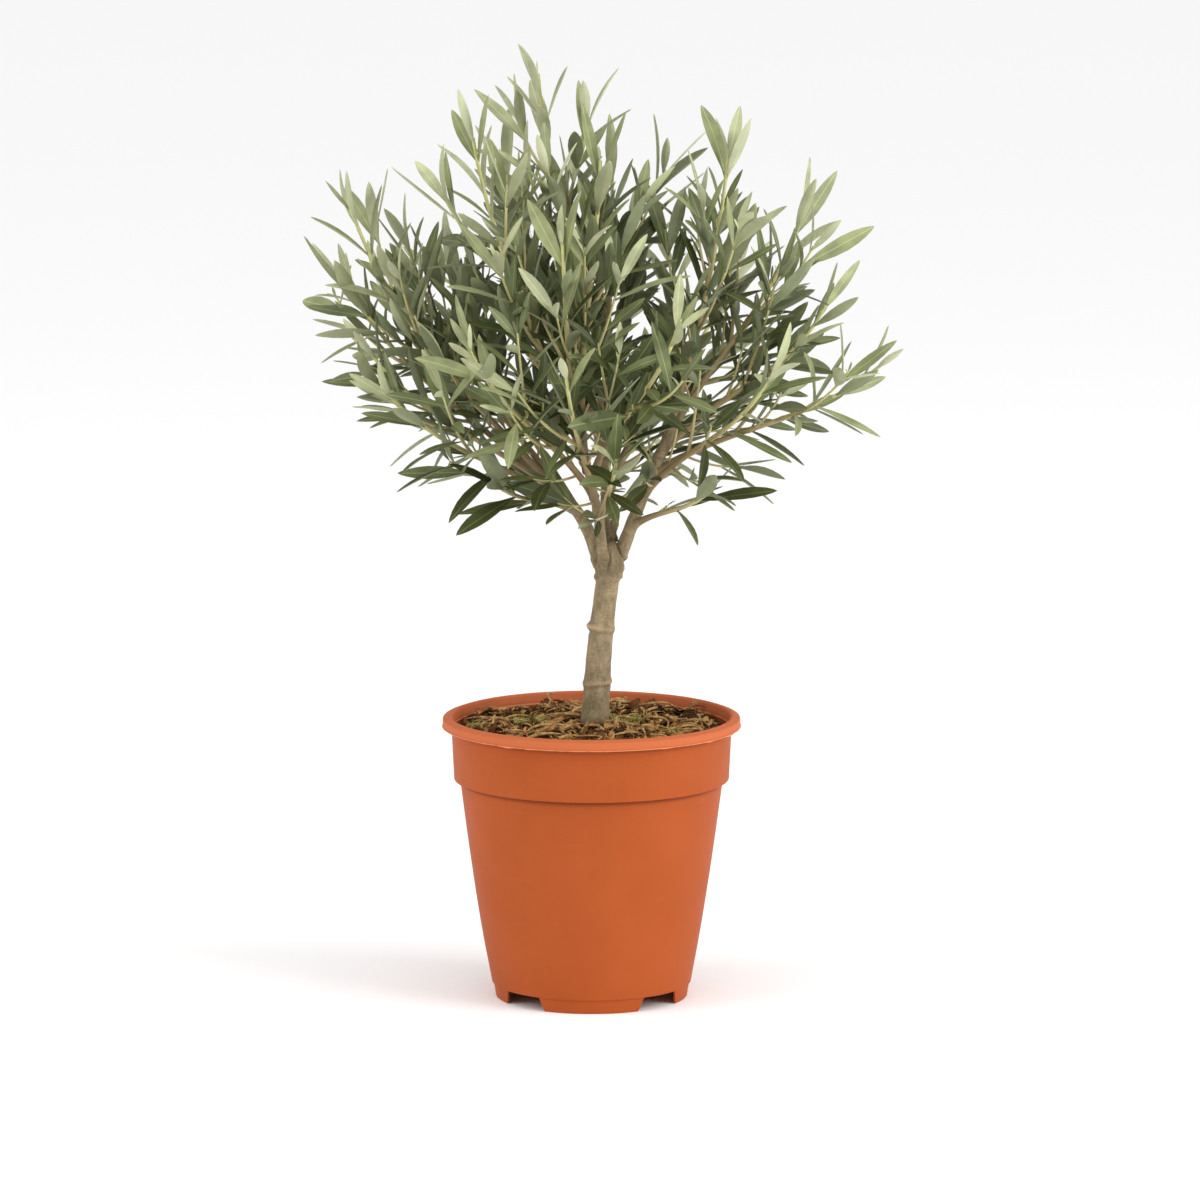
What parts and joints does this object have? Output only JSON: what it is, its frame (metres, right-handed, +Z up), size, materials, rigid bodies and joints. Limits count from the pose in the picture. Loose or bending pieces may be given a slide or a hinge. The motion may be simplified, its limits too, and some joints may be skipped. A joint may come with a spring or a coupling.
{
  "type": "potted olive tree",
  "caption": "Young olive tree grown as a small standard: a slim trunk, a round open crown of narrow grey-green leaves, in a terracotta-coloured plastic nursery pot.",
  "frame": {"origin": "centre of the flat pad under the pot, on the surface that the pot stands on", "axes": "+Z up the trunk, +X to the right and +Y to the back seen from the front"},
  "size_m": [0.3516, 0.2851, 0.5519],
  "materials": {
    "terracotta_plastic": "terracotta-coloured moulded plastic with a slight sheen",
    "potting_soil": "dark brown bark and fibre compost",
    "bark": "grey-tan young bark with rings and small pores",
    "foliage": "narrow leathery grey-green leaves on straw-coloured twigs"
  },
  "bodies": {
    "root": {"pot": "terracotta_plastic", "soil": "potting_soil", "trunk": "bark", "limb_left": "bark", "limb_right": "bark", "limb_centre": "bark", "limb_back": "bark", "bough_left_low": "bark", "bough_left_low_front": "bark", "bough_left_mid": "bark", "bough_left_high": "bark", "bough_left_crest": "bark", "bough_left_twig": "bark", "bough_back_left": "bark", "bough_top_left": "bark", "bough_front_left": "bark", "bough_front_low": "bark", "bough_front_centre": "bark", "bough_front_high": "bark", "bough_front_right": "bark", "bough_top_centre": "bark", "bough_top": "bark", "bough_top_left_back": "bark", "bough_top_back": "bark", "bough_back_centre": "bark", "bough_back_right": "bark", "bough_back_low": "bark", "bough_top_right": "bark", "bough_right_high": "bark", "bough_right_mid": "bark", "bough_right_low": "bark", "bough_right_front": "bark", "bough_right_twig": "bark", "foliage_left_low": "foliage", "foliage_left_low_front": "foliage", "foliage_left_mid": "foliage", "foliage_left_high": "foliage", "foliage_left_crest": "foliage", "foliage_left_twig": "foliage", "foliage_back_left": "foliage", "foliage_top_left": "foliage", "foliage_front_left": "foliage", "foliage_front_low": "foliage", "foliage_front_centre": "foliage", "foliage_front_high": "foliage", "foliage_front_right": "foliage", "foliage_top_centre": "foliage", "foliage_top": "foliage", "foliage_top_left_back": "foliage", "foliage_top_back": "foliage", "foliage_back_centre": "foliage", "foliage_back_right": "foliage", "foliage_back_low": "foliage", "foliage_top_right": "foliage", "foliage_right_high": "foliage", "foliage_right_mid": "foliage", "foliage_right_low": "foliage", "foliage_right_front": "foliage", "foliage_right_twig": "foliage"}
  },
  "joints": []
}
